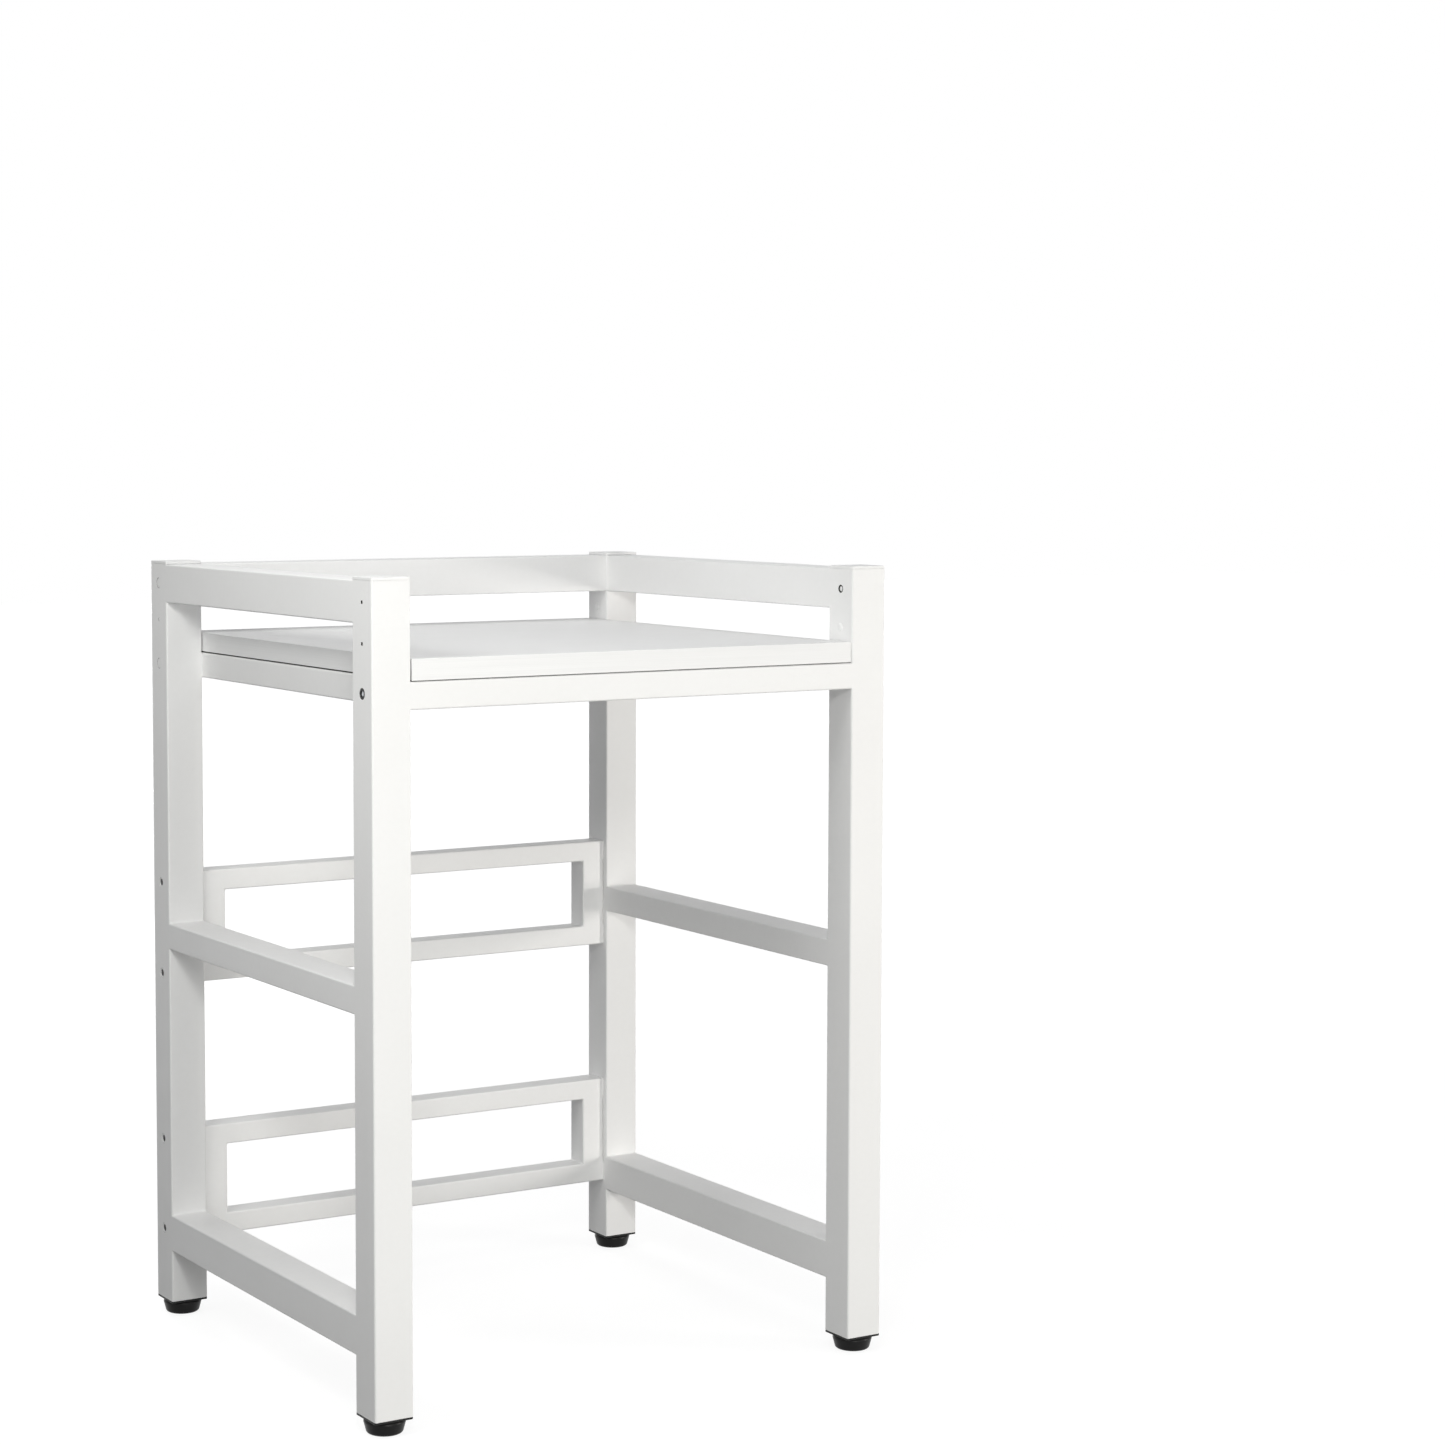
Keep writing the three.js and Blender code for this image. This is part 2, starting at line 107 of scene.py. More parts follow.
# Board
EDGING = 0.001  # thickness of the strips round the board
BOARD_EASE = 0.0005
STRIP_SEAM = 0.00012
SIDE_GROOVE = 0.0015  # left under the side strips, above the bed, for a black strip of painted shade
END_GROOVE = 0.0006  # left under the front and rear strips
# how far each black strip of painted shade sits behind the edging's face
SHADE_STRIP_RECESS = 0.0002

# Plastic pieces
PLATE_EASE = 0.0006
PLASTIC_WALL = 0.002
PUSH_FIT = 0.0002
INSERT_BOSS = 0.028
INSERT_BORE = 0.0126
INSERT_RECESS = 0.0208
INSERT_RECESS_DEPTH = 0.0068

# Bolts: M8 with a socket head
THREAD_DEPTH = 0.6134  # of the pitch
BOLT_HEAD = 0.013
BOLT_HEAD_HEIGHT = 0.008
BOLT_SHANK = 0.008
BOLT_LENGTH = 0.020
BOLT_PITCH = 0.00125
BOLT_SOCKET = 0.006
BOLT_SOCKET_DEPTH = 0.004
BOLT_THREAD_START = 0.0032  # below the head

# Levelling feet: M12 stud in a pad
STUD_SIZE = 0.012
STUD_PITCH = 0.00175
STUD_COLLAR = 0.022
STUD_COLLAR_HEIGHT = 0.003
STUD_HEX = 0.017
STUD_HEX_HEIGHT = 0.006
STUD_NECK = 0.0058  # radius, under the hexagon
STUD_SIDES = 32
PAD_SOLE = 0.047
PAD_SOLE_EDGE = 0.0035
PAD_SIZE = 0.055
PAD_SHOULDER = 0.004
PAD_FLOOR = 0.013
PAD_MOUTH = 0.016
PAD_SIDES = 72
FOOT_GAP = 0.0004

# Camera and light
CAMERA_PLACE = (-2.1258, -3.7852, 1.2570)
CAMERA_TILT = 86.0038  # degrees up from straight down
CAMERA_TURN = -30.5178  # degrees about the upright axis
CAMERA_SENSOR = 36
CAMERA_LENS = 76.734
CAMERA_SHIFT = (0.1030, -0.04)
CAMERA_REACH = 100
AMBIENT = 0.18
AMBIENT_TINT = (0.93, 0.96, 1.0, 1)
FLOOR_SIZE = 40
FLOOR_GLOW = 0.87  # near the stand, where the lamps light the floor; 1 far away
LAMPS = [
    # name, place, aimed at, width and height, power, colour
    # the front strip stands in line with the left legs, so that the front one shades the rear one
    ("front_strip", (-0.3675, -5.0, 0.5), (-0.3675, 0, 0.5), (0.3, 1.0), 24, (1.0, 0.99, 0.93)),
    ("front_near", (-0.6, -2.9, 0.5), (-0.1, 0, 0.4), (1.0, 1.0), 19, (0.99, 1.0, 0.97)),
    ("overhead_soft", (0, 0, 3.4), (0, 0, 0), (2.5, 2.5), 22, (1.0, 1.0, 0.99)),
    ("left_key", (-1.05, -1.8, 1.57), (-0.37, 0.1, 0.5), (0.3, 0.3), 9.7, (1.0, 1.0, 0.98)),
    ("left_near", (-1.5, -0.5, 1.9), (-0.4, -0.2, 0.6), (0.8, 0.8), 13, (1.0, 1.0, 0.97)),
    ("right_strip", (2.94, -2.4, 0.7), (0, -0.1, 0.5), (0.35, 1.0), 54, (1.0, 0.965, 0.92)),
    ("rear_soft", (0.25, 4.0, 0.9), (0, 0, 0.5), (1.1, 1.4), 42, (0.99, 1.0, 1.0)),
]

X, Y, Z = range(3)
SIGN = {"left": -1, "right": 1, "front": -1, "rear": 1}
SIDES = ("left", "right")
CORNERS = [(end, side) for side in SIDES for end in ("front", "rear")]


# The record's words for each node

slot_of = {part["node"]: part["material_slot"] for part in frame["record"]["subparts"]}
bodies = frame["record"]["behaviour"]["bodies"]
body_of = {node: body for body, nodes in bodies.items() for node in nodes}


# Camera, first of all

def add_camera():
    bpy.ops.object.camera_add(
        location=CAMERA_PLACE,
        rotation=(math.radians(CAMERA_TILT), 0, math.radians(CAMERA_TURN)),
    )
    camera = bpy.context.object
    camera.name = "camera"
    camera.data.sensor_width = CAMERA_SENSOR
    camera.data.lens = CAMERA_LENS
    camera.data.shift_x, camera.data.shift_y = CAMERA_SHIFT
    camera.data.clip_end = CAMERA_REACH
    bpy.context.scene.camera = camera


# Node helpers

def add_node(tree, kind, inputs=None, **settings):
    """Add a node; an input is a plain value or the socket that feeds it."""
    node = tree.nodes.new(kind)
    for name, value in settings.items():
        setattr(node, name, value)
    for name, value in (inputs or {}).items():
        if isinstance(value, bpy.types.NodeSocket):
            tree.links.new(value, node.inputs[name])
        else:
            node.inputs[name].default_value = value
    return node


def maths(tree, operation, first, second=0.0, clamp=False):
    node = add_node(tree, "ShaderNodeMath", {0: first, 1: second}, operation=operation)
    node.use_clamp = clamp
    return node.outputs[0]


def mapped(tree, value, low, high, to_low, to_high):
    """Carry a value from one range to another, held at both ends."""
    limits = {"From Min": low, "From Max": high, "To Min": to_low, "To Max": to_high}
    return add_node(tree, "ShaderNodeMapRange", {"Value": value, **limits}).outputs[0]


def mixed(tree, share, first, second):
    """Mix two colours by a share from 0 to 1."""
    node = tree.nodes.new("ShaderNodeMix")
    node.data_type = "RGBA"
    for socket, value in ((node.inputs[0], share), (node.inputs[6], first), (node.inputs[7], second)):
        if isinstance(value, bpy.types.NodeSocket):
            tree.links.new(value, socket)
        else:
            socket.default_value = value
    return node.outputs[2]


def noise(tree, place, scale, detail=2.0, roughness=0.5):
    inputs = {"Vector": place, "Scale": scale, "Detail": detail, "Roughness": roughness}
    return add_node(tree, "ShaderNodeTexNoise", inputs).outputs["Fac"]


def stretched(tree, place, scale):
    return add_node(tree, "ShaderNodeMapping", {"Vector": place, "Scale": scale}).outputs[0]


def grey(level, warmth=0.0):
    """A grey of one level, a little redder and less blue for a positive warmth."""
    return (level * (1 + warmth), level, level * (1 - warmth), 1)


def new_group(name, inputs, outputs):
    """A shader node group with named float or colour sockets; returns it with its two ends."""
    group = bpy.data.node_groups.new(name, "ShaderNodeTree")
    for socket, value in inputs.items():
        kind = "NodeSocketColor" if isinstance(value, tuple) else "NodeSocketFloat"
        made = group.interface.new_socket(socket, in_out="INPUT", socket_type=kind)
        made.default_value = value
    for socket, kind in outputs.items():
        group.interface.new_socket(socket, in_out="OUTPUT", socket_type=kind)
    start = group.nodes.new("NodeGroupInput").outputs
    end = group.nodes.new("NodeGroupOutput").inputs
    place = group.nodes.new("ShaderNodeTexCoord").outputs["Object"]
    return group, start, end, place


# Shared effects

def make_surface_grain():
    """Small relief of a coated or moulded surface: broad waves and a finer grain on them."""
    group, start, end, place = new_group(
        "surface_grain",
        {"Wave per metre": 500.0, "Grain per metre": 2500.0, "Grain share": 0.3},
        {"Height": "NodeSocketFloat", "Patches": "NodeSocketFloat"},
    )
    wave = noise(group, place, start["Wave per metre"], 1.0)
    grain = noise(group, place, start["Grain per metre"], 2.0, 0.6)
    fine = maths(group, "MULTIPLY", grain, start["Grain share"])
    height = maths(group, "ADD", wave, fine)
    patches = noise(group, place, 26.0, 3.0, 0.55)
    group.links.new(height, end["Height"])
    group.links.new(patches, end["Patches"])
    return group


def make_tone_drift():
    """Slow changes of tone along a long piece, and faint mottling within them."""
    group, start, end, place = new_group(
        "tone_drift",
        {"Light": grey(0.9), "Dark": grey(0.8), "Size": 0.25},
        {"Color": "NodeSocketColor"},
    )
    per_metre = maths(group, "DIVIDE", 1.0, start["Size"])
    slow = noise(group, place, per_metre, 2.0)
    quick = noise(group, place, maths(group, "MULTIPLY", per_metre, 40.0), 3.0, 0.6)
    slow_part = maths(group, "MULTIPLY", slow, 0.7)
    quick_part = maths(group, "MULTIPLY", quick, 0.3)
    both = maths(group, "ADD", slow_part, quick_part)
    share = mapped(group, both, 0.35, 0.65, 0.0, 1.0)
    group.links.new(mixed(group, share, start["Dark"], start["Light"]), end["Color"])
    return group


def make_handling_marks():
    """Faint rubbed streaks and small scuffs where hands and machines pass."""
    group, start, end, place = new_group(
        "handling_marks",
        {"Amount": 0.5},
        {"Mask": "NodeSocketFloat"},
    )
    streaks = noise(group, stretched(group, place, (90, 90, 900)), 1.0, 3.0, 0.7)
    fields = noise(group, place, 7.0, 2.0)
    lines = mapped(group, streaks, 0.62, 0.72, 0.0, 1.0)
    where = mapped(group, fields, 0.55, 0.72, 0.0, 1.0)
    marks = maths(group, "MULTIPLY", lines, where)
    group.links.new(maths(group, "MULTIPLY", marks, start["Amount"], clamp=True), end["Mask"])
    return group


def make_settled_dust():
    """Fine dust on faces that look up, thinner where the air moves it."""
    group, start, end, place = new_group(
        "settled_dust",
        {"Amount": 0.3},
        {"Mask": "NodeSocketFloat"},
    )
    normal = add_node(group, "ShaderNodeNewGeometry").outputs["Normal"]
    upward = add_node(group, "ShaderNodeSeparateXYZ", {0: normal}).outputs["Z"]
    facing = mapped(group, upward, 0.6, 1.0, 0.0, 1.0)
    clumps = mapped(group, noise(group, place, 60.0, 5.0, 0.65), 0.4, 0.7, 0.3, 1.0)
    film = maths(group, "MULTIPLY", facing, clumps)
    group.links.new(maths(group, "MULTIPLY", film, start["Amount"], clamp=True), end["Mask"])
    return group


effects = {
    "grain": make_surface_grain(),
    "drift": make_tone_drift(),
    "marks": make_handling_marks(),
    "dust": make_settled_dust(),
}


def effect(tree, name, inputs):
    node = tree.nodes.new("ShaderNodeGroup")
    node.node_tree = effects[name]
    for socket, value in inputs.items():
        node.inputs[socket].default_value = value
    return node.outputs


# Materials

SOFT_GLOSS = 0.35


def new_material(name):
    """An empty material with its Principled shader; returns material, tree, shader."""
    material = bpy.data.materials.new(name)
    material.use_nodes = True
    tree = material.node_tree
    return material, tree, tree.nodes["Principled BSDF"]


def finish_surface(tree, shader, color, roughness, height, depth):
    """Feed a shader its colour, roughness and a relief of the given depth in metres."""
    bump = add_node(tree, "ShaderNodeBump", {"Height": height, "Distance": depth, "Strength": 1.0})
    tree.links.new(color, shader.inputs["Base Color"])
    tree.links.new(roughness, shader.inputs["Roughness"])
    tree.links.new(bump.outputs[0], shader.inputs["Normal"])


def coated(name, light, dark, rough, wave, grain, share, depth, marks, dust, gloss=SOFT_GLOSS):
    """A dense coloured skin: powder coat, laminate or moulded plastic."""
    material, tree, shader = new_material(name)
    relief = effect(tree, "grain", {
        "Wave per metre": wave,
        "Grain per metre": grain,
        "Grain share": share,
    })
    tone = effect(tree, "drift", {"Light": light, "Dark": dark, "Size": 0.3})["Color"]
    rubbed = effect(tree, "marks", {"Amount": marks})["Mask"]
    film = effect(tree, "dust", {"Amount": dust})["Mask"]
    worn = mixed(tree, rubbed, tone, tuple(0.8 * level for level in dark[:3]) + (1,))
    color = mixed(tree, film, worn, grey(0.55, 0.02))
    patchy = mapped(tree, relief["Patches"], 0.3, 0.7, rough - 0.04, rough + 0.05)
    polished = maths(tree, "SUBTRACT", patchy, maths(tree, "MULTIPLY", rubbed, 0.15))
    roughness = maths(tree, "ADD", polished, maths(tree, "MULTIPLY", film, 0.25), clamp=True)
    shader.inputs["Specular IOR Level"].default_value = gloss
    finish_surface(tree, shader, color, roughness, relief["Height"], depth)
    return material


def edging():
    """The board's edge strip: the same white, with faint drawn lines along its length."""
    material, tree, shader = new_material("board_edging")
    place = add_node(tree, "ShaderNodeTexCoord").outputs["Object"]
    drawn = noise(tree, stretched(tree, place, (3, 3, 1100)), 1.0, 3.0, 0.6)
    broad = noise(tree, stretched(tree, place, (1.5, 1.5, 160)), 1.0, 2.0)
    drawn_part = maths(tree, "MULTIPLY", drawn, 0.6)
    broad_part = maths(tree, "MULTIPLY", broad, 0.4)
    lines = maths(tree, "ADD", drawn_part, broad_part)
    share = mapped(tree, lines, 0.38, 0.62, 0.0, 1.0)
    rubbed = effect(tree, "marks", {"Amount": 0.2})["Mask"]
    tone = mixed(tree, share, grey(0.86), grey(0.9))
    color = mixed(tree, rubbed, tone, grey(0.7))
    roughness = mapped(tree, lines, 0.35, 0.65, 0.36, 0.5)
    shader.inputs["Specular IOR Level"].default_value = SOFT_GLOSS
    finish_surface(tree, shader, color, roughness, drawn, 0.00001)
    return material


def zinc():
    """Zinc plate on turned steel: bright, slightly blue, with fine turned rings and dull spots."""
    material, tree, shader = new_material("zinc_plate")
    relief = effect(tree, "grain", {
        "Wave per metre": 1800.0,
        "Grain per metre": 9000.0,
        "Grain share": 0.5,
    })
    tone = effect(tree, "drift", {
        "Light": (0.66, 0.68, 0.70, 1),
        "Dark": (0.50, 0.52, 0.54, 1),
        "Size": 0.02,
    })["Color"]
    film = effect(tree, "dust", {"Amount": 0.25})["Mask"]
    color = mixed(tree, film, tone, grey(0.35, 0.03))
    roughness = mapped(tree, relief["Patches"], 0.3, 0.7, 0.24, 0.42)
    shader.inputs["Metallic"].default_value = 1.0
    finish_surface(tree, shader, color, roughness, relief["Height"], 0.000006)
    return material


def painted_hole_shade():
    """The wall of a drilled hole: steel, darkened almost black as painted shade in the hole."""
    material, tree, shader = new_material("hole_wall_painted_shade")
    relief = effect(tree, "grain", {
        "Wave per metre": 2400.0,
        "Grain per metre": 8000.0,
        "Grain share": 0.5,
    })
    tone = effect(tree, "drift", {
        "Light": grey(0.05, 0.05),
        "Dark": grey(0.02, 0.08),
        "Size": 0.01,
    })["Color"]
    roughness = mapped(tree, relief["Patches"], 0.3, 0.7, 0.45, 0.65)
    shader.inputs["Metallic"].default_value = 0.6
    finish_surface(tree, shader, tone, roughness, relief["Height"], 0.00001)
    return material


materials = {
    "white_powder_coat": coated(
        "powder_coat", grey(0.9, 0.002), grey(0.87, 0.004), 0.42,
        wave=520.0, grain=2600.0, share=0.35, depth=0.00003, marks=0.25, dust=0.05,
    ),
    "white_laminate": coated(
        "board_laminate", grey(0.9), grey(0.875, 0.002), 0.46,
        wave=900.0, grain=3600.0, share=0.6, depth=0.00002, marks=0.2, dust=0.05,
    ),
    "white_plastic": coated(
        "white_plastic", grey(0.9, 0.002), grey(0.87, 0.004), 0.5,
        wave=1500.0, grain=5000.0, share=0.8, depth=0.00002, marks=0.3, dust=0.08,
    ),
    "black_plastic": coated(
        "black_plastic", grey(0.016), grey(0.011), 0.42,
        wave=1500.0, grain=5000.0, share=0.8, depth=0.00002, marks=0.4, dust=0.04, gloss=0.2,
    ),
    "black_rubber": coated(
        "black_rubber", grey(0.012), grey(0.007), 0.33,
        wave=900.0, grain=4200.0, share=0.6, depth=0.00003, marks=0.5, dust=0.05, gloss=0.14,
    ),
    "zinc_steel": zinc(),
}
edging_material = edging()
# hole walls: steel darkened almost black, painted shade in the holes
hole_wall_painted_shade = painted_hole_shade()


# Modelling helpers

def pick(piece):
    """Select one piece alone and make it active."""
    bpy.ops.object.select_all(action="DESELECT")
    piece.select_set(True)
    bpy.context.view_layer.objects.active = piece


def begin_edit(piece, kind):
    """Open a piece for editing vertices, edges or faces, with nothing selected."""
    pick(piece)
    bpy.ops.object.mode_set(mode="EDIT")
    bpy.ops.mesh.select_mode(type=kind)
    bpy.ops.mesh.select_all(action="DESELECT")


def end_edit():
    bpy.ops.object.mode_set(mode="OBJECT")


def mark_edges(piece, wanted):
    """Select the edges whose two ends pass a test; True when there are any."""
    mesh = bmesh.from_edit_mesh(piece.data)
    found = [edge for edge in mesh.edges if wanted(edge.verts[0].co, edge.verts[1].co)]
    for edge in found:
        edge.select_set(True)
    bmesh.update_edit_mesh(piece.data)
    return bool(found)


def mark_faces(piece, wanted):
    """Select the faces whose middle and normal pass a test."""
    mesh = bmesh.from_edit_mesh(piece.data)
    for face in mesh.faces:
        if wanted(face.calc_center_median(), face.normal):
            face.select_set(True)
    bmesh.update_edit_mesh(piece.data)


def rounded(piece, radius, steps, wanted):
    """Round the edges whose ends pass a test."""
    begin_edit(piece, "EDGE")
    if mark_edges(piece, wanted):
        bpy.ops.mesh.bevel(offset=radius, segments=steps, profile=0.5, affect="EDGES")
    end_edit()


def settle(piece, location=(0, 0, 0), rotation=(0, 0, 0)):
    """Put a piece in its place and write that place into its mesh."""
    piece.location = location
    piece.rotation_euler = rotation
    pick(piece)
    bpy.ops.object.transform_apply(location=True, rotation=True, scale=True)


def named(piece, name):
    piece.name = name
    piece.data.name = name
    return piece


def block(name, low, high):
    size = Vector(high) - Vector(low)
    middle = (Vector(high) + Vector(low)) / 2
    bpy.ops.object.select_all(action="DESELECT")
    bpy.ops.mesh.primitive_cube_add(size=1, location=middle, scale=size)
    piece = named(bpy.context.object, name)
    bpy.ops.object.transform_apply(location=True, rotation=True, scale=True)
    return piece


def runs_along(axis):
    """A test for edges parallel to an axis."""
    def wanted(one, other):
        step = other - one
        return abs(step[axis]) > 0.999 * step.length
    return wanted


def lies_at(axis, level):
    """A test for edges at one level on an axis."""
    return lambda one, other: abs(one[axis] - level) + abs(other[axis] - level) < 1e-6


def applied(piece, kind, **settings):
    """Add a modifier, set it and apply it."""
    pick(piece)
    modifier = piece.modifiers.new("work", kind)
    for name, value in settings.items():
        setattr(modifier, name, value)
    bpy.ops.object.modifier_apply(modifier=modifier.name)


def tube(name, low, high, axis):
    """A square tube along an axis, open at both ends, its long edges rounded."""
    piece = block(name, low, high)
    rounded(piece, TUBE_EDGE, EDGE_STEPS, runs_along(axis))
    begin_edit(piece, "FACE")
    mark_faces(piece, lambda middle, normal: abs(normal[axis]) > 0.9)
    bpy.ops.mesh.delete(type="FACE")
    end_edit()
    applied(piece, "SOLIDIFY", thickness=TUBE_WALL, offset=-1, use_even_offset=True)
    return piece


def twin_of(piece, name, move, turns):
    """A copy with its own mesh, turned about the origin by three angles, then moved."""
    pick(piece)
    bpy.ops.object.duplicate(linked=False)
    twin = named(bpy.context.object, name)
    settle(twin, move, turns)
    return twin


def copy_of(piece, name, move, turn=0.0):
    """A copy turned about the upright axis through the origin, then moved."""
    return twin_of(piece, name, move, (0, 0, turn))


def joined(pieces, name):
    bpy.ops.object.select_all(action="DESELECT")
    for piece in pieces:
        piece.select_set(True)
    bpy.context.view_layer.objects.active = pieces[0]
    bpy.ops.object.join()
    return named(bpy.context.object, name)


def combined(piece, other, operation):
    """Cut another closed piece out of this one, or add it, and remove the other."""
    applied(piece, "BOOLEAN", object=other, operation=operation, solver="EXACT")
    bpy.data.objects.remove(other, do_unlink=True)


def rod(name, middle, size, length, axis, sides=HOLE_SIDES):
    """A plain round cutter along an axis."""
    turns = {X: (0, math.pi / 2, 0), Y: (math.pi / 2, 0, 0), Z: (0, 0, 0)}
    bpy.ops.object.select_all(action="DESELECT")
    bpy.ops.mesh.primitive_cylinder_add(
        vertices=sides, radius=size / 2, depth=length, location=middle, rotation=turns[axis],
    )
    piece = named(bpy.context.object, name)
    bpy.ops.object.transform_apply(location=True, rotation=True, scale=True)
    return piece


def on_ring(middle, size, axis):
    """A test for edges on the rim of a round hole whose middle lies in the wall's face."""
    def on_rim(point):
        away = point - middle
        flat = abs(away[axis]) < 1e-5
        away[axis] = 0
        return flat and abs(away.length - size / 2) < 2e-5
    return lambda one, other: on_rim(one) and on_rim(other)


def drilled(piece, holes, axis):
    """Drill holes, given as middles on the wall's face with sizes, ease their rims, and give their
    walls the painted shade.
    """
    cutters = [rod("cutter", middle, size, 3 * TUBE_WALL, axis) for middle, size in holes]
    combined(piece, joined(cutters, "cutter"), "DIFFERENCE")
    for middle, size in holes:
        rounded(piece, HOLE_EASE, 2, on_ring(middle, size, axis))

    def in_hole(point, normal):
        for middle, size in holes:
            away = point - middle
            deep = HOLE_EASE < abs(away[axis]) < TUBE_WALL
            away[axis] = 0
            if deep and away.length < size / 2:
                return True
        return False

    # the hole walls take the second slot: steel darkened as painted shade
    begin_edit(piece, "FACE")
    mark_faces(piece, in_hole)
    piece.active_material_index = 1
    bpy.ops.object.material_slot_assign()
    end_edit()


def turned(name, rings, sides=HOLE_SIDES):
    """A round solid on the upright axis, drawn out ring by ring from (radius, height) pairs."""
    radius, height = rings[0]
    bpy.ops.object.select_all(action="DESELECT")
    bpy.ops.mesh.primitive_circle_add(
        vertices=sides, radius=radius, fill_type="NGON", location=(0, 0, height),
    )
    piece = named(bpy.context.object, name)
    bpy.ops.object.transform_apply(location=True, rotation=True, scale=True)
    begin_edit(piece, "FACE")
    bpy.ops.mesh.select_all(action="SELECT")
    for wider, higher in rings[1:]:
        bpy.ops.mesh.extrude_region_move(TRANSFORM_OT_translate={"value": (0, 0, higher - height)})
        grow = wider / radius
        bpy.ops.transform.resize(value=(grow, grow, 1), center_override=(0, 0, higher))
        radius, height = wider, higher
    bpy.ops.mesh.select_all(action="SELECT")
    bpy.ops.mesh.normals_make_consistent(inside=False)
    end_edit()
    return piece


def round_ring(piece, radius, height, fillet, steps=4):
    """Round the circular edge at a radius and height of a turned piece."""
    def on_it(point):
        level = abs(point.z - height) < 1e-5
        return level and abs(math.hypot(point.x, point.y) - radius) < 2e-5
    rounded(piece, fillet, steps, lambda one, other: on_it(one) and on_it(other))


def thread(name, size, pitch, bottom, top, steps=24):
    """The helical ridge of a thread, to be joined to a rod of its root size."""
    depth = THREAD_DEPTH * pitch
    sunk = 0.15 * pitch
    inner = size / 2 - depth - sunk
    low = (inner, 0, bottom)
    high = (size / 2, 0, bottom + 0.88 * pitch)
    middle = (Vector(low) + Vector(high)) / 2
    bpy.ops.object.select_all(action="DESELECT")
    bpy.ops.mesh.primitive_plane_add(size=1, location=middle, rotation=(math.pi / 2, 0, 0))
    piece = named(bpy.context.object, name)
    piece.scale = (high[X] - low[X], high[Z] - low[Z], 1)
    bpy.ops.object.transform_apply(location=True, rotation=True, scale=True)
    begin_edit(piece, "EDGE")
    mark_edges(piece, lambda one, other: min(one.x, other.x) > high[X] - 1e-6)
    bpy.ops.transform.resize(value=(1, 1, 0.14), center_override=(high[X], 0, middle[Z]))
    end_edit()
    turns = int((top - bottom) / pitch) - 1
    applied(
        piece, "SCREW", axis="Z", angle=2 * math.pi, steps=steps, render_steps=steps,
        screw_offset=pitch, iterations=turns, use_merge_vertices=False,
    )
    begin_edit(piece, "VERT")
    bpy.ops.mesh.select_all(action="SELECT")
    bpy.ops.mesh.remove_doubles(threshold=1e-7)
    bpy.ops.mesh.fill_holes(sides=4)
    bpy.ops.mesh.select_all(action="SELECT")
    bpy.ops.mesh.normals_make_consistent(inside=False)
    end_edit()
    return piece


def middle_of(node):
    low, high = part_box(node)
    return (low + high) / 2


def shaded(piece, slot, body, material=None):
    """Shade a piece smooth over its roundings, and give it its finish and its body."""
    pick(piece)
    bpy.ops.object.shade_smooth_by_angle(angle=math.radians(32))
    applied(piece, "WEIGHTED_NORMAL", keep_sharp=True)
    if not piece.data.materials:
        piece.data.materials.append(material or materials[slot])
    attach(piece, body)


def finished(piece, node):
    """Finish a piece that stands for a CAD node."""
    shaded(piece, slot_of[node], body_of[node])
    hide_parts(node)


# Legs

def bolt_heights(end):
    """Heights of the bolts through a leg at this end."""
    names = [node for node in slot_of if node.startswith("bolt_") and node.endswith(f"_{end}_left")]
    return [middle_of(node).z for node in names]


def make_legs(end):
    """The two legs of one end: the right one is the left one turned half round."""
    low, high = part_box(f"leg_{end}_left")
    middle = (low + high) / 2
    piece = tube(f"leg_tube_{end}_left", low, high, Z)
    piece.data.materials.append(materials["white_powder_coat"])
    # second slot: the hole walls, darkened as painted shade
    piece.data.materials.append(hole_wall_painted_shade)

    def on_wall(x, z, size):
        return Vector((x, middle.y, z)), size

    plug_height = middle_of(f"hole_plug_{end}_left").z
    guard_height = middle_of("guard_rail_left").z
    holes = [on_wall(low.x, plug_height, PILOT_HOLE), on_wall(high.x, plug_height, PLUG_HOLE)]
    for height in bolt_heights(end):
        holes.append(on_wall(low.x, height, ACCESS_HOLE))
        holes.append(on_wall(high.x, height, BOLT_HOLE))
    if end == "front":
        holes.append(on_wall(low.x, guard_height, PILOT_HOLE))
        holes.append(on_wall(high.x, guard_height, SPARE_HOLE))
    drilled(piece, holes, X)
    twin = copy_of(piece, f"leg_tube_{end}_right", (0, 2 * middle.y, 0), math.pi)
    finished(piece, f"leg_{end}_left")
    finished(twin, f"leg_{end}_right")


# Rails

def weld_beads(low, high, axis, side, faces=(-1, 1)):
    """Slim beads across both ends of a welded tube, along its faces that look up or down one axis."""
    run = 3 - axis - side
    beads = []
    for end, face in itertools.product((-1, 1), faces):
        heel = Vector()
        heel[axis] = high[axis] if end > 0 else low[axis]
        heel[side] = high[side] if face > 0 else low[side]
        tip = heel.copy()
        tip[axis] -= end * WELD
        tip[side] += face * WELD
        heel[axis] += end * WELD_SINK
        heel[side] -= face * WELD_SINK
        heel[run] = low[run] + TUBE_EDGE
        tip[run] = high[run] - TUBE_EDGE
        corners = [sorted(pair) for pair in zip(heel, tip)]
        bead = block("bead", [pair[0] for pair in corners], [pair[1] for pair in corners])

        def on_tip(one, other):
            return all(abs(p[axis] - tip[axis]) + abs(p[side] - tip[side]) < 1e-6 for p in (one, other))

        rounded(bead, 0.9 * WELD, 4, on_tip)
        beads.append(bead)
    return beads


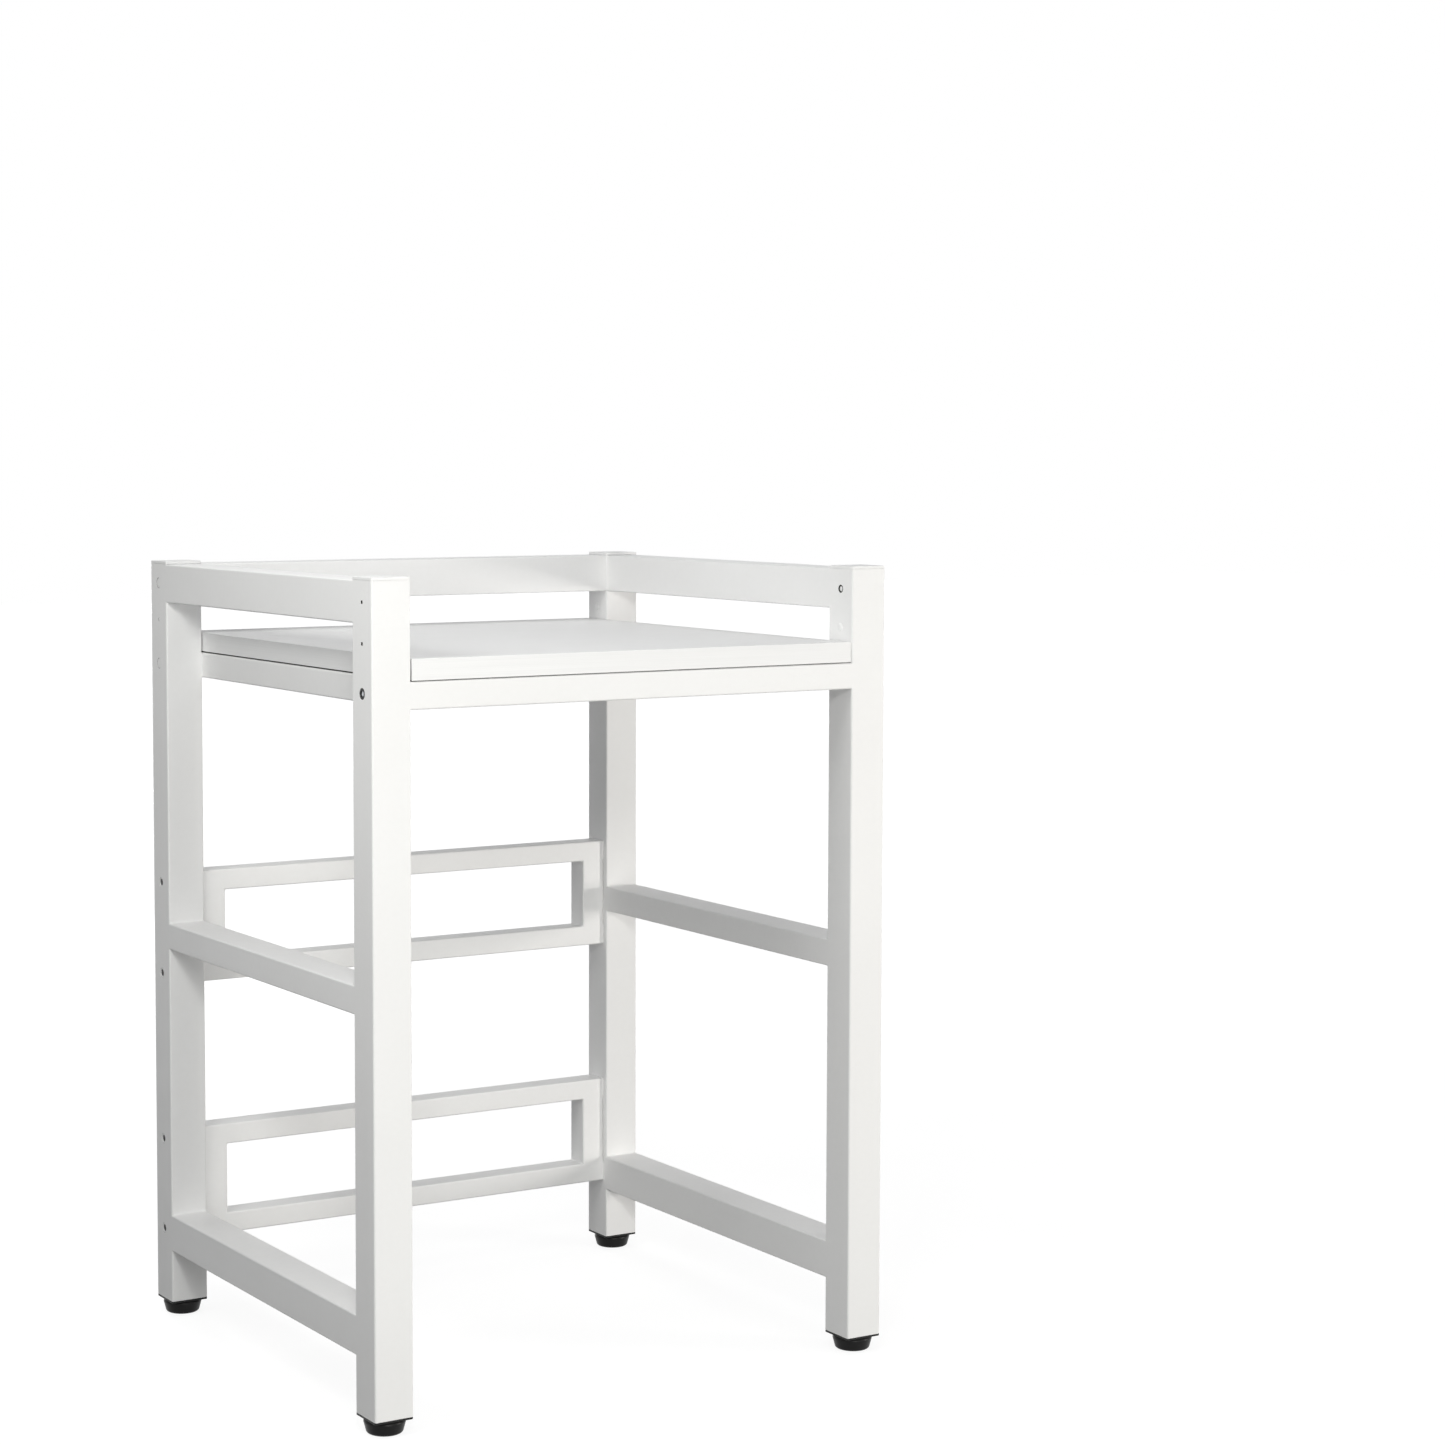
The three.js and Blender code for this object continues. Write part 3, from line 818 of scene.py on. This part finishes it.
def make_side_rails():
    """Rails welded between front and rear legs, run into the legs' rounded corners."""
    for kind in ("guard", "middle", "bottom"):
        low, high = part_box(f"{kind}_rail_left")
        reach = Vector((0, JOINT_GAP + TUBE_EDGE, 0))
        piece = tube(f"{kind}_tube_left", low - reach, high + reach, Y)
        faces = (-1,) if kind == "guard" else (-1, 1)
        piece = joined([piece, *weld_beads(low, high, Y, Z, faces)], piece.name)
        across = 2 * abs(middle_of(f"{kind}_rail_left").x)
        twin = copy_of(piece, f"{kind}_tube_right", (across, 0, 0))
        finished(piece, f"{kind}_rail_left")
        finished(twin, f"{kind}_rail_right")


def bolted_tube(name, low, high, bolt_height):
    """A tube along X whose ends are closed by plates with a hole for the bolt."""
    piece = tube(name, low, high, X)
    bore_low = low + Vector((0, TUBE_WALL + JOINT_GAP, TUBE_WALL + JOINT_GAP))
    bore_high = high - Vector((0, TUBE_WALL + JOINT_GAP, TUBE_WALL + JOINT_GAP))
    plates = []
    for start in (low.x, high.x - END_PLATE):
        bore_low.x = start
        bore_high.x = start + END_PLATE
        plate = block("end_plate", bore_low, bore_high)
        hole = Vector((start + END_PLATE / 2, (low.y + high.y) / 2, bolt_height))
        combined(plate, rod("cutter", hole, BOLT_HOLE, 3 * END_PLATE, X), "DIFFERENCE")
        plates.append(plate)
    return joined([piece, *plates], name)


def corner_fill(x, side, face, toward, low, high):
    """A slim filler in the rounded corner of a leg, level with the rail's face."""
    reach = TUBE_EDGE - JOINT_LINE
    inner = x - side * JOINT_GAP
    near, far = sorted((inner, x + side * reach))
    front, back = sorted((face, face + toward * TUBE_EDGE))
    ease = TUBE_EDGE * 0.3
    return block("corner_fill", (near, front, low.z + ease), (far, back, high.z - ease))


def make_bolted_rails():
    """Rails level with the legs' faces: the shelf's front and rear rails and the rear guard."""
    for node, bolt in (
        ("shelf_rail_front", "bolt_shelf_front_left"),
        ("shelf_rail_rear", "bolt_shelf_rear_left"),
        ("guard_rail_rear", "bolt_guard_rear_left"),
    ):
        low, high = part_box(node)
        pieces = [bolted_tube(node, low, high, middle_of(bolt).z)]
        for side in (-1, 1):
            end = side * (high.x + JOINT_GAP)
            pieces.append(corner_fill(end, side, low.y, 1, low, high))
            pieces.append(corner_fill(end, side, high.y, -1, low, high))
        finished(joined(pieces, node.replace("rail", "tube")), node)


def make_shelf_bed():
    """The bed's side rails and cross bar, run into the rounded edges of what carries them."""
    reach = JOINT_GAP + TUBE_EDGE
    low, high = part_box("shelf_rail_left")
    side = tube("shelf_tube_left", low - Vector((0, reach, 0)), high + Vector((0, reach, 0)), Y)
    side = joined([side, *weld_beads(low, high, Y, X, (1,))], side.name)
    twin = copy_of(side, "shelf_tube_right", (0, low.y + high.y, 0), math.pi)
    finished(side, "shelf_rail_left")
    finished(twin, "shelf_rail_right")
    low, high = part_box("shelf_cross_bar")
    bar = tube("shelf_cross_tube", low - Vector((reach, 0, 0)), high + Vector((reach, 0, 0)), X)
    bar = joined([bar, *weld_beads(low, high, X, Y)], bar.name)
    finished(bar, "shelf_cross_bar")


def make_rear_panel(panel):
    """A ladder of two bolted rails with an upright at each end, their joints ground level."""
    for row in ("top", "bottom"):
        node = f"{panel}_rail_{row}"
        low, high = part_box(node)
        height = middle_of(f"bolt_{panel}_{row}_rear_left").z
        finished(bolted_tube(f"{panel}_tube_{row}", low, high, height), node)
    reach = Vector((0, 0, JOINT_GAP + TUBE_EDGE))
    low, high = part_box(f"{panel}_upright_left")
    piece = tube(f"{panel}_post_left", low - reach, high + reach, Z)
    piece = joined([piece, *weld_beads(low, high, Z, X, (1,))], piece.name)
    twin = copy_of(piece, f"{panel}_post_right", (0, low.y + high.y, 0), math.pi)
    finished(piece, f"{panel}_upright_left")
    finished(twin, f"{panel}_upright_right")


# Board

def make_board():
    """A laminated board with a thin edging strip along each of its four edges, and a black strip of
    painted shade in the groove under each.
    """
    low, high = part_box("shelf_board")
    inset = Vector((EDGING, EDGING, 0))
    core = block("board_core", low + inset, high - inset)
    rounded(core, STRIP_SEAM, 1, lambda one, other: abs(one.z - other.z) < 1e-6)
    finished(core, "shelf_board")
    strips = {
        "front": ((low.x, low.y), (high.x, low.y + EDGING)),
        "rear": ((low.x, high.y - EDGING), (high.x, high.y)),
        "left": ((low.x, low.y + EDGING), (low.x + EDGING, high.y - EDGING)),
        "right": ((high.x - EDGING, low.y + EDGING), (high.x, high.y - EDGING)),
    }
    for name, (start, end) in strips.items():
        bottom = low.z + (SIDE_GROOVE if name in SIDES else END_GROOVE)
        strip = block(f"edging_{name}", (*start, bottom), (*end, high.z))
        axis = Y if name in ("front", "rear") else X
        outside = min if SIGN[name] < 0 else max
        face = outside(start[axis], end[axis])
        rounded(strip, BOARD_EASE, 4, lies_at(axis, face))
        shaded(strip, "white_laminate", "frame", edging_material)
        # a black strip just behind each groove's face: painted shade for the dark line between board
        # and bed
        start, end = Vector((*start, low.z)), Vector((*end, bottom))
        outer = start if SIGN[name] < 0 else end
        outer[axis] -= SIGN[name] * SHADE_STRIP_RECESS
        shade_strip = block(f"board_seal_{name}", start, end)
        rounded(shade_strip, SHADE_STRIP_RECESS, 2, runs_along(Y if axis == X else X))
        shaded(shade_strip, "black_rubber", "frame")


# Leg ends and plugs

def eased_plate(name, low, high):
    """A square plate with the tube's rounded corners and eased edges."""
    piece = block(name, low, high)
    rounded(piece, TUBE_EDGE, 6, runs_along(Z))
    for level in (low.z, high.z):
        rounded(piece, PLATE_EASE, 3, lies_at(Z, level))
    return piece


def bore_box(node):
    """The inside of a leg's bore, less the push fit, over a leg end's own height."""
    low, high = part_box(node)
    inset = TUBE_WALL + PUSH_FIT
    return low + Vector((inset, inset, 0)), high - Vector((inset, inset, 0))


def copies_to_corners(piece, kind, node):
    """Copy a piece made at the front left corner to the other three, and finish all four."""
    home = middle_of(f"{node}_front_left")
    for end, side in CORNERS[1:]:
        move = middle_of(f"{node}_{end}_{side}") - home
        finished(copy_of(piece, f"{kind}_{end}_{side}", move), f"{node}_{end}_{side}")
    finished(piece, f"{node}_front_left")


def skirt_of(low, high):
    """A square sleeve to be pushed into a leg: nearly sharp outside, sharp inside."""
    piece = block("skirt", low, high)
    rounded(piece, PLATE_EASE, 2, runs_along(Z))
    wall = Vector((PLASTIC_WALL, PLASTIC_WALL, -PLASTIC_WALL))
    combined(piece, block("cutter", low + wall, high - wall), "DIFFERENCE")
    return piece


def make_caps():
    """Caps pushed into the legs' upper ends: a thin plate on a skirt."""
    low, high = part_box("leg_cap_front_left")
    leg_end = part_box("leg_front_left")[1].z + JOINT_GAP
    plate = eased_plate("cap_front_left", Vector((low.x, low.y, leg_end)), high)
    skirt_low, skirt_high = bore_box("leg_cap_front_left")
    skirt_high.z = leg_end + PLATE_EASE
    piece = joined([plate, skirt_of(skirt_low, skirt_high)], "cap_front_left")
    copies_to_corners(piece, "cap", "leg_cap")


def make_inserts():
    """Inserts in the legs' lower ends: a flange, a ribbed skirt and a bored boss."""
    low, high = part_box("foot_insert_front_left")
    middle = (low + high) / 2
    leg_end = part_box("leg_front_left")[0].z - JOINT_GAP
    piece = eased_plate("insert_front_left", low, Vector((high.x, high.y, leg_end)))
    skirt_low, skirt_high = bore_box("foot_insert_front_left")
    skirt_low.z = leg_end - PLATE_EASE
    combined(piece, skirt_of(skirt_low, skirt_high), "UNION")
    boss_height = high.z - skirt_low.z
    boss_middle = Vector((middle.x, middle.y, skirt_low.z + boss_height / 2))
    combined(piece, rod("boss", boss_middle, INSERT_BOSS, boss_height, Z), "UNION")
    for axis in (X, Y):
        rib_low = skirt_low.copy()
        rib_high = skirt_high.copy()
        rib_low[1 - axis] = middle[1 - axis] - PLASTIC_WALL / 2
        rib_high[1 - axis] = middle[1 - axis] + PLASTIC_WALL / 2
        rib_low[axis] += PLASTIC_WALL / 2
        rib_high[axis] -= PLASTIC_WALL / 2
        combined(piece, block("rib", rib_low, rib_high), "UNION")
    bottom = Vector((middle.x, middle.y, low.z))
    combined(piece, rod("cutter", bottom, INSERT_BORE, 4 * (high.z - low.z), Z), "DIFFERENCE")
    combined(piece, rod("cutter", bottom, INSERT_RECESS, 2 * INSERT_RECESS_DEPTH, Z), "DIFFERENCE")
    rounded(piece, HOLE_EASE, 2, on_ring(bottom, INSERT_RECESS, Z))
    copies_to_corners(piece, "insert", "foot_insert")


def make_plugs():
    """Push-in plugs in the legs' inner faces: a low domed head on a split stem."""
    low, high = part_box("hole_plug_front_left")
    size = high.z - low.z
    leg_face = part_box("leg_front_left")[1].x + JOINT_GAP
    head = high.x - leg_face
    stem = leg_face - low.x
    piece = turned("plug_front_left", [
        (0.8 * PLUG_STEM, -stem), (PLUG_STEM, -stem + 0.001), (PLUG_STEM, 0), (size / 2, 0),
        (size / 2 - 0.0002, 0.25 * head), (0.38 * size, 0.8 * head), (0.18 * size, head),
    ])
    half = PLUG_SLOT / 2
    slot = block("cutter", (-size, -half, -2 * stem), (size, half, -0.0008))
    combined(piece, slot, "DIFFERENCE")
    for side, turn in (("left", math.pi / 2), ("right", -math.pi / 2)):
        for end in ("front", "rear"):
            node = f"hole_plug_{end}_{side}"
            plug_low, plug_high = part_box(node)
            place = middle_of(node)
            place.x = plug_high.x - head if side == "left" else plug_low.x + head
            finished(twin_of(piece, f"plug_{end}_{side}", place, (0, turn, 0)), node)
    bpy.data.objects.remove(piece, do_unlink=True)


def cover(name, size, gap):
    """A round cover that faces upwards from z = 0, on a stem with ribs that grip the hole."""
    edge = size / 2 - gap
    stem = edge - STEM_STEP
    rim = -COVER_CROWN
    disc = turned(name, [
        (stem, -COVER_DEPTH), (stem, -COVER_EDGE), (edge, -COVER_EDGE), (edge, rim - 0.0004),
        (edge - 0.0002, rim - 0.0001), (edge - 0.0005, rim), (0.5 * edge, 0),
    ])
    half = RIB_WIDTH / 2
    rib_low = (stem - half, -half, -COVER_DEPTH)
    rib_high = (size / 2 - GRIP_GAP, half, -COVER_EDGE - 0.0004)
    ribs = []
    for number in range(COVER_RIBS):
        rib = block("rib", rib_low, rib_high)
        settle(rib, (0, 0, 0), (0, 0, number * 2 * math.pi / COVER_RIBS))
        ribs.append(rib)
    return joined([disc, *ribs], name)


def sleeve(size, pin_size):
    """A round sleeve that faces upwards from z = 0, with a pocket for a pin."""
    edge = size / 2 - GRIP_GAP
    pocket = pin_size / 2 + POCKET_GAP
    return turned("sleeve", [
        (edge - SLEEVE_WALL, -SLEEVE_DEPTH), (edge, SLEEVE_WALL - SLEEVE_DEPTH),
        (edge, -SLEEVE_EASE), (edge - SLEEVE_EASE, 0),
        (pocket + SLEEVE_EASE, 0), (pocket, -SLEEVE_EASE), (pocket, -POCKET_DEPTH),
    ])


def pin(size):
    """The domed end of a pin, a little below the sleeve's face."""
    edge = size / 2
    return turned("pin", [
        (edge, POCKET_GAP - POCKET_DEPTH), (edge, -0.0014), (0.92 * edge, -0.0010),
        (0.7 * edge, -0.0007), (0.4 * edge, -0.0005), (0.1 * edge, -0.0004),
    ])


def set_in_walls(piece, slot, places):
    """Copy a piece into each hole: the hole's name, its middle on the wall, and the way it faces."""
    for name, middle, facing in places:
        sunk = Vector((-facing * COVER_RECESS, 0, 0))
        turns = (0, facing * math.pi / 2, 0)
        shaded(twin_of(piece, f"{piece.name}_{name}", middle + sunk, turns), slot, "frame")
    bpy.data.objects.remove(piece, do_unlink=True)


def access_holes(end):
    """Name, middle and facing of each access hole in the outer walls of the legs of one end."""
    found = []
    for node in slot_of:
        if node.startswith("bolt_") and f"_{end}_" in node:
            facing = SIGN[node.rsplit("_", 1)[1]]
            middle = middle_of(node)
            middle.x = facing * cad_box[1].x
            found.append((node.removeprefix("bolt_"), middle, facing))
    return found


def make_hole_covers():
    """Covers, and sleeves with pins, in the holes through the legs' walls."""
    rear = access_holes("rear")
    panels = [place for place in rear if "panel" in place[0]]
    others = [place for place in rear if "panel" not in place[0]]
    pilots = []
    spares = []
    for side in SIDES:
        facing = SIGN[side]
        middle = middle_of(f"hole_plug_rear_{side}")
        middle.x = facing * cad_box[1].x
        pilots.append((f"pilot_rear_{side}", middle, facing))
        leg_low, leg_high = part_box(f"leg_front_{side}")
        middle = (leg_low + leg_high) / 2
        middle.x = leg_high.x if side == "left" else leg_low.x
        middle.z = middle_of("guard_rail_left").z
        spares.append((f"spare_front_{side}", middle, -facing))
    set_in_walls(cover("cover", ACCESS_HOLE, COVER_GAP), "white_plastic", others)
    set_in_walls(cover("cover", PILOT_HOLE, PILOT_COVER_GAP), "white_plastic", pilots)
    for size, pin_size, sleeve_slot, pin_slot, places in (
        (ACCESS_HOLE, PIN_SIZE, "black_plastic", "zinc_steel", access_holes("front")),
        (ACCESS_HOLE, REAR_PIN_SIZE, "white_plastic", "black_plastic", panels),
        (SPARE_HOLE, PIN_SIZE, "black_plastic", "white_plastic", spares),
    ):
        set_in_walls(sleeve(size, pin_size), sleeve_slot, places)
        set_in_walls(pin(pin_size), pin_slot, places)


# Fasteners

def make_bolts():
    """Socket head bolts, driven from inside the legs into the rails' end plates."""
    head = BOLT_HEAD / 2
    root = BOLT_SHANK / 2 - THREAD_DEPTH * BOLT_PITCH
    body = turned("bolt", [
        (head - 0.0008, -BOLT_HEAD_HEIGHT), (head, -BOLT_HEAD_HEIGHT + 0.0008), (head, -0.0004),
        (head - 0.0004, 0), (BOLT_SHANK / 2, 0), (BOLT_SHANK / 2, 0.003), (root, 0.0038),
        (root, BOLT_LENGTH - 0.0006), (root - 0.0006, BOLT_LENGTH),
    ])
    flats = BOLT_SOCKET / math.cos(math.pi / 6)
    key = rod("cutter", (0, 0, -BOLT_HEAD_HEIGHT), flats, 2 * BOLT_SOCKET_DEPTH, Z, sides=6)
    combined(body, key, "DIFFERENCE")
    ridge = thread("ridge", BOLT_SHANK, BOLT_PITCH, BOLT_THREAD_START, BOLT_LENGTH)
    piece = joined([body, ridge], "bolt")
    for node in slot_of:
        if not node.startswith("bolt_"):
            continue
        low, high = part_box(node)
        place = (low + high) / 2
        to_right = node.endswith("_left")
        place.x = low.x + BOLT_HEAD_HEIGHT if to_right else high.x - BOLT_HEAD_HEIGHT
        turn = math.pi / 2 if to_right else -math.pi / 2
        finished(twin_of(piece, node.replace("bolt", "screw"), place, (0, turn, 0)), node)
    bpy.data.objects.remove(piece, do_unlink=True)


# Levelling feet

def make_pads():
    """Rubber pads: a hollowed sole, tapered sides, a rounded shoulder and a socket above."""
    low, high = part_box("foot_pad_front_left")
    height = high.z
    sole = PAD_SOLE / 2
    widest = PAD_SIZE / 2
    socket = STUD_COLLAR / 2 + 2 * FOOT_GAP
    lip = PAD_FLOOR + 2 * FOOT_GAP + STUD_COLLAR_HEIGHT
    piece = turned("pad_front_left", [
        (sole - 0.007, 0.0008), (sole - 0.006, 0), (sole, 0),
        (widest, height - PAD_SHOULDER), (widest, height), (PAD_MOUTH / 2, height),
        (PAD_MOUTH / 2, lip), (socket, lip), (socket, PAD_FLOOR),
    ], sides=PAD_SIDES)
    round_ring(piece, sole, 0, PAD_SOLE_EDGE, 7)
    round_ring(piece, widest, height, PAD_SHOULDER * 0.95, 7)
    round_ring(piece, PAD_MOUTH / 2, height, 0.0008, 3)
    middle = middle_of("foot_pad_front_left")
    settle(piece, (middle.x, middle.y, 0))
    copies_to_corners(piece, "pad", "foot_pad")


def make_studs():
    """Threaded studs: a collar that turns in the pad, a hexagon for the spanner and a thread."""
    low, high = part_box("foot_stud_front_left")
    pad_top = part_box("foot_pad_front_left")[1].z
    root = STUD_SIZE / 2 - THREAD_DEPTH * STUD_PITCH
    collar = STUD_COLLAR / 2
    bottom = low.z
    shelf = bottom + STUD_COLLAR_HEIGHT
    hex_bottom = pad_top + 2 * FOOT_GAP
    hex_top = hex_bottom + STUD_HEX_HEIGHT
    core = turned("stud", [
        (collar - 0.0004, bottom), (collar, bottom + 0.0004), (collar, shelf - 0.0004),
        (collar - 0.0004, shelf), (STUD_NECK, shelf), (STUD_NECK, hex_bottom + 0.001),
        (root, hex_bottom + 0.0012), (root, high.z - 0.001), (root - 0.001, high.z),
    ])
    across = STUD_HEX / math.cos(math.pi / 6)
    nut = rod("nut", (0, 0, (hex_bottom + hex_top) / 2), across, hex_top - hex_bottom, Z, sides=6)
    for level in (hex_bottom, hex_top):
        rounded(nut, 0.0004, 2, lies_at(Z, level))
    ridge = thread("ridge", STUD_SIZE, STUD_PITCH, hex_bottom + 0.004, high.z, steps=STUD_SIDES)
    piece = joined([core, nut, ridge], "stud_front_left")
    middle = middle_of("foot_stud_front_left")
    settle(piece, (middle.x, middle.y, 0))
    copies_to_corners(piece, "threaded_stud", "foot_stud")


# Floor, background and light

def ray_share(tree):
    """1 for rays that see the background directly, in a reflection or through glass."""
    path = add_node(tree, "ShaderNodeLightPath").outputs
    seen = maths(tree, "MAXIMUM", path["Is Camera Ray"], path["Is Glossy Ray"])
    return maths(tree, "MAXIMUM", seen, path["Is Transmission Ray"])


def make_floor():
    """A pale floor that reads as white where it is open and keeps the stand's shadow."""
    bpy.ops.object.select_all(action="DESELECT")
    bpy.ops.mesh.primitive_plane_add(size=FLOOR_SIZE, location=(0, 0, 0))
    floor = named(bpy.context.object, "floor")
    material, tree, shader = new_material("pale_floor")
    place = add_node(tree, "ShaderNodeTexCoord").outputs["Object"]
    mottle = mapped(tree, noise(tree, place, 3.0, 4.0), 0.3, 0.7, 0.0, 1.0)
    tree.links.new(mixed(tree, mottle, grey(0.19), grey(0.21)), shader.inputs["Base Color"])
    shader.inputs["Roughness"].default_value = 0.9
    shader.inputs["Specular IOR Level"].default_value = 0.1
    away = add_node(tree, "ShaderNodeVectorMath", {0: place}, operation="LENGTH").outputs["Value"]
    level = mapped(tree, away, 1.0, 5.0, FLOOR_GLOW, 1.0)
    strength = maths(tree, "MULTIPLY", ray_share(tree), level)
    glow = add_node(tree, "ShaderNodeEmission", {"Strength": strength})
    both = add_node(tree, "ShaderNodeAddShader", {0: shader.outputs[0], 1: glow.outputs[0]})
    tree.links.new(both.outputs[0], tree.nodes["Material Output"].inputs["Surface"])
    floor.data.materials.append(material)


def make_world():
    """White where it is seen, and a plain even light elsewhere."""
    world = bpy.data.worlds.new("studio")
    bpy.context.scene.world = world
    world.use_nodes = True
    tree = world.node_tree
    share = ray_share(tree)
    background = tree.nodes["Background"]
    tint = mixed(tree, share, AMBIENT_TINT, (1, 1, 1, 1))
    tree.links.new(tint, background.inputs["Color"])
    strength = maths(tree, "ADD", maths(tree, "MULTIPLY", share, 1.0 - AMBIENT), AMBIENT)
    tree.links.new(strength, background.inputs["Strength"])


def make_lamps():
    for name, place, aim, size, power, color in LAMPS:
        bpy.ops.object.light_add(type="AREA", location=place)
        lamp = bpy.context.object
        lamp.name = name
        lamp.data.shape = "RECTANGLE"
        lamp.data.size, lamp.data.size_y = size
        lamp.data.energy = power
        lamp.data.color = color
        lamp.visible_camera = False
        lamp.rotation_euler = (Vector(aim) - Vector(place)).to_track_quat("-Z", "Y").to_euler()


add_camera()
for end in ("front", "rear"):
    make_legs(end)
make_side_rails()
make_bolted_rails()
make_shelf_bed()
for panel in ("upper_panel", "lower_panel"):
    make_rear_panel(panel)
make_board()
make_caps()
make_inserts()
make_plugs()
make_hole_covers()
make_bolts()
make_pads()
make_studs()
make_floor()
make_world()
make_lamps()

scene = bpy.context.scene
scene.view_settings.view_transform = "Standard"
